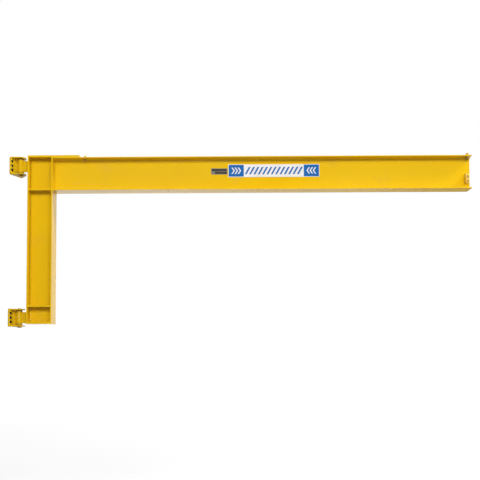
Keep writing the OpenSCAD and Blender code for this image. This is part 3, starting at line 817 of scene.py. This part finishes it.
def makeBarTree():
    tree, given, result = newGroup("markBars", "GeometryNodeTree", {
        "Base": geometry, "Count": 5, "Pitch": 0.03, "Width": 0.01, "Height": 0.05, "Thickness": 0.0003, "Slant": 0.5,
        "Bend": 0.0, "Start": (0.0, 0.0, 0.0), "Finish": coating}, {"Bars": geometry})
    step = put(tree, "ShaderNodeCombineXYZ", X=given["Pitch"])
    line = put(tree, "GeometryNodeMeshLine", Count=given["Count"], Start_Location=given["Start"],
               Offset=step.outputs[0])
    size = put(tree, "ShaderNodeCombineXYZ", X=given["Width"], Y=given["Thickness"], Z=given["Height"])
    bar = put(tree, "GeometryNodeMeshCube", Size=size.outputs[0], Vertices_X=2, Vertices_Y=2, Vertices_Z=3)
    height = put(tree, "ShaderNodeSeparateXYZ", Vector=put(tree, "GeometryNodeInputPosition").outputs[0]).outputs["Z"]
    bent = times(tree, calc(tree, "ABSOLUTE", height), given["Bend"])
    skew = put(tree, "ShaderNodeCombineXYZ", X=calc(tree, "ADD", times(tree, height, given["Slant"]), bent))
    slanted = put(tree, "GeometryNodeSetPosition", Geometry=bar.outputs["Mesh"], Offset=skew.outputs[0])
    placed = put(tree, "GeometryNodeInstanceOnPoints", Points=line.outputs[0], Instance=slanted.outputs[0])
    endTree(tree, result["Bars"], placed.outputs[0], given["Finish"])
    return tree


markBars = makeBarTree()


def printBars(name, finish, **sizes):
    carrier = meshObject(name + "Base", [(0, 0, 0)])
    addTree(carrier, markBars, Finish=finish, **sizes)
    return bake(carrier, name, "jib", tidy=False)


m = markLook
top = boomHigh.z - m["drop"]
bottom = top - m["height"]
end = m["start"] + m["length"]
layer = faceY - m["thick"]
inset = m["panelInset"]
flatPlate("markBand", m["start"], end, bottom, top, faceY, layer, whiteVinyl)
for name, x0, x1 in (("markPanelLeft", m["start"] + inset, m["start"] + m["endPanel"]),
                     ("markPanelRight", end - m["endPanel"], end - inset)):
    flatPlate(name, x0, x1, bottom + inset, top - inset, layer, layer - m["ink"], blueVinyl)
margin = m["endPanel"] + m["barMargin"]
middle = (top + bottom) / 2
printBars("markBars", blueVinyl, Count=m["bars"], Pitch=(m["length"] - 2 * margin) / (m["bars"] - 1),
          Width=m["barWidth"], Height=m["barHeight"], Thickness=m["ink"], Slant=m["slant"], Bend=0.0,
          Start=(m["start"] + margin, layer - m["ink"] / 2, middle))
panelCentre = (m["endPanel"] + inset) / 2
for name, centre, bend in (("markChevronsLeft", m["start"] + panelCentre, -m["chevronBend"]),
                           ("markChevronsRight", end - panelCentre, m["chevronBend"])):
    first = centre - m["chevronPitch"] * (m["chevrons"] - 1) / 2 - bend * m["chevronHeight"] / 4
    printBars(name, whiteVinyl, Count=m["chevrons"], Pitch=m["chevronPitch"], Width=m["chevronWidth"],
              Height=m["chevronHeight"], Thickness=m["ink"], Slant=0.0, Bend=bend,
              Start=(first, layer - m["ink"] * 1.5, middle))
tagEnd = m["start"] - m["tagGap"]
tagStart, tagTop, tagFace = tagEnd - m["tagLength"], top - m["tagDrop"], faceY - m["tagThick"]
flatPlate("tagPlate", tagStart, tagEnd, tagTop - m["tagHeight"], tagTop, faceY, tagFace, tagMetal, m["tagCorner"])
for part, (left, upper, lower) in m["tagFields"].items():
    flatPlate("tagField" + part, tagStart + left, tagEnd - m["tagRim"], tagTop - lower, tagTop - upper,
              tagFace, tagFace - m["tagInk"], tagField)
print("marking made")


# Camera
cameraLook = {"place": (1.7802, -4.9979, -0.2695), "yaw": -0.521, "pitch": 2.279, "roll": -0.161,
              "lens": 48.99, "sensor": 36, "shift": 0.18, "clip": (0.05, 200)}
camera = bpy.data.objects.new("camera", bpy.data.cameras.new("camera"))
scene.collection.objects.link(camera)
yaw, pitch, roll = [math.radians(cameraLook[key]) for key in ("yaw", "pitch", "roll")]
aimAt = Vector((math.sin(yaw) * math.cos(pitch), math.cos(yaw) * math.cos(pitch), math.sin(pitch)))
right = aimAt.cross(Vector((0, 0, 1))).normalized()
up = right.cross(aimAt)
right, up = right * math.cos(roll) + up * math.sin(roll), up * math.cos(roll) - right * math.sin(roll)
camera.matrix_world = Matrix.Translation(cameraLook["place"]) @ Matrix((right, up, -aimAt)).transposed().to_4x4()
camera.data.lens = cameraLook["lens"]
camera.data.sensor_width = cameraLook["sensor"]
camera.data.shift_y = cameraLook["shift"]
camera.data.clip_start, camera.data.clip_end = cameraLook["clip"]
scene.camera = camera
print("camera placed")


# Lights, floor and the white surroundings
lightLook = {
    "keyLeft": {"place": (-0.2, -7.2, 4.2), "aim": (1.0, 0.0, 0.8), "size": (3.4, 3.2), "power": 335, "gleam": False},
    "keyRight": {"place": (4.4, -7.4, 3.9), "aim": (2.0, 0.0, 1.0), "size": (3.0, 3.0), "power": 310, "gleam": False},
    "side": {"place": (8.2, -7.0, 3.9), "aim": (1.6, 0.0, 1.0), "size": (1.6, 1.2), "power": 60, "gleam": False},
    "high": {"place": (7.3, -1.2, 4.9), "aim": (2.9, 0.0, 1.0), "size": (0.7, 0.7), "power": 300},
    "top": {"place": (0.8, -0.2, 5.2), "aim": (1.2, 0.0, 0.8), "size": (3.0, 1.6), "power": 30},
    "fill": {"place": (0.6, -6.4, 0.1), "aim": (0.8, 0.0, 0.8), "size": (3.0, 0.8), "power": 28},
    "back": {"place": (1.4, 6.8, 4.4), "aim": (1.5, 0.0, 0.9), "size": (4.0, 2.0), "power": 200},
    "bounce": {"place": (3.7, 2.7, -1.3), "aim": (2.8, 0.0, 1.0), "size": (2.0, 1.0), "power": 110},
}
for name, s in lightLook.items():
    lamp = bpy.data.lights.new(name, "AREA")
    lamp.shape = "RECTANGLE"
    lamp.size, lamp.size_y = s["size"]
    lamp.energy = s["power"]
    holder = bpy.data.objects.new(name, lamp)
    holder.location = s["place"]
    holder.visible_glossy = s.get("gleam", True)  # without it a lamp leaves no glare on the long flat webs
    holder.rotation_mode = "QUATERNION"
    holder.rotation_quaternion = (Vector(s["aim"]) - Vector(s["place"])).to_track_quat("-Z", "Y")
    scene.collection.objects.link(holder)

# The room shows white to the camera. What gloss mirrors of it is dark in front, pale behind and along the floor.
worldLook = {"ambient": 0.06, "room": 0.1, "roomY": -0.1, "backdropY": 0.5,
             "floorZ": -1.6, "floorHalf": 60, "floorTone": (0.32, 0.32, 0.32, 1),
             "floorNear": 0.72, "nearEnd": 3.0, "farStart": 11.0,
             "fadeStart": 0.0, "fadeEnd": 6.5, "fadeFrom": 1.0, "fadeTo": 0.09,
             "frontEnd": 0.5, "backStart": 4.0, "frontShare": 0.2}
w = worldLook
world = bpy.data.worlds.new("studio")
scene.world = world
world.use_nodes = True
sky = world.node_tree
sky.nodes.clear()
path = put(sky, "ShaderNodeLightPath").outputs
seenRays = calc(sky, "ADD", calc(sky, "ADD", path["Is Camera Ray"], path["Is Glossy Ray"]),
                path["Is Transmission Ray"], True)
dim = put(sky, "ShaderNodeBackground", Color=(1, 1, 1, 1), Strength=w["ambient"])
facing = put(sky, "ShaderNodeSeparateXYZ", Vector=put(sky, "ShaderNodeNewGeometry").outputs["Position"]).outputs["Y"]
backdrop = remap(sky, facing, w["roomY"], w["backdropY"], w["room"], 1.0)
white = put(sky, "ShaderNodeBackground", Color=(1, 1, 1, 1),
            Strength=calc(sky, "MAXIMUM", backdrop, path["Is Camera Ray"]))
choose = sky.nodes.new("ShaderNodeMixShader")
wire(sky, choose.inputs[0], seenRays)
wire(sky, choose.inputs[1], dim.outputs[0])
wire(sky, choose.inputs[2], white.outputs[0])
wire(sky, sky.nodes.new("ShaderNodeOutputWorld").inputs[0], choose.outputs[0])

# The floor glows as well as taking light, though it is no lamp: to the camera faintly near the crane and white far
# off, and in gloss with a painted reflection that fades towards +X and towards the front
floorMaterial = bpy.data.materials.new("paleFloor")
floorMaterial.use_nodes = True
ground = floorMaterial.node_tree
ground.nodes.clear()
matt = put(ground, "ShaderNodeBsdfDiffuse", Color=w["floorTone"])
where = put(ground, "ShaderNodeNewGeometry").outputs["Position"]
spot = put(ground, "ShaderNodeSeparateXYZ", Vector=where).outputs
fade = times(ground, remap(ground, spot["X"], w["fadeStart"], w["fadeEnd"], w["fadeFrom"], w["fadeTo"]),
            remap(ground, spot["Y"], w["frontEnd"], w["backStart"], w["frontShare"], 1.0))
rays = put(ground, "ShaderNodeLightPath").outputs
seen = times(ground, calc(ground, "ADD", rays["Is Camera Ray"], rays["Is Transmission Ray"]),
            remap(ground, vectorCalc(ground, "LENGTH", where), w["nearEnd"], w["farStart"], w["floorNear"], 1.0))
lift = put(ground, "ShaderNodeEmission", Color=(1, 1, 1, 1),
           Strength=calc(ground, "ADD", seen, times(ground, rays["Is Glossy Ray"], fade)))
both = ground.nodes.new("ShaderNodeAddShader")
wire(ground, both.inputs[0], matt.outputs[0])
wire(ground, both.inputs[1], lift.outputs[0])
oneSided = ground.nodes.new("ShaderNodeMixShader")
wire(ground, oneSided.inputs[0], put(ground, "ShaderNodeNewGeometry").outputs["Backfacing"])
wire(ground, oneSided.inputs[1], both.outputs[0])
wire(ground, oneSided.inputs[2], ground.nodes.new("ShaderNodeBsdfTransparent").outputs[0])
wire(ground, ground.nodes.new("ShaderNodeOutputMaterial").inputs[0], oneSided.outputs[0])
spread = w["floorHalf"]
floor = meshObject("floor", [(x, y, w["floorZ"]) for x, y in ((-spread, -spread), (spread, -spread), (spread, spread),
                                                              (-spread, spread))], [(0, 1, 2, 3)])
floor.data.materials.append(floorMaterial)
scene.view_settings.view_transform = "Standard"
print("scene lit")
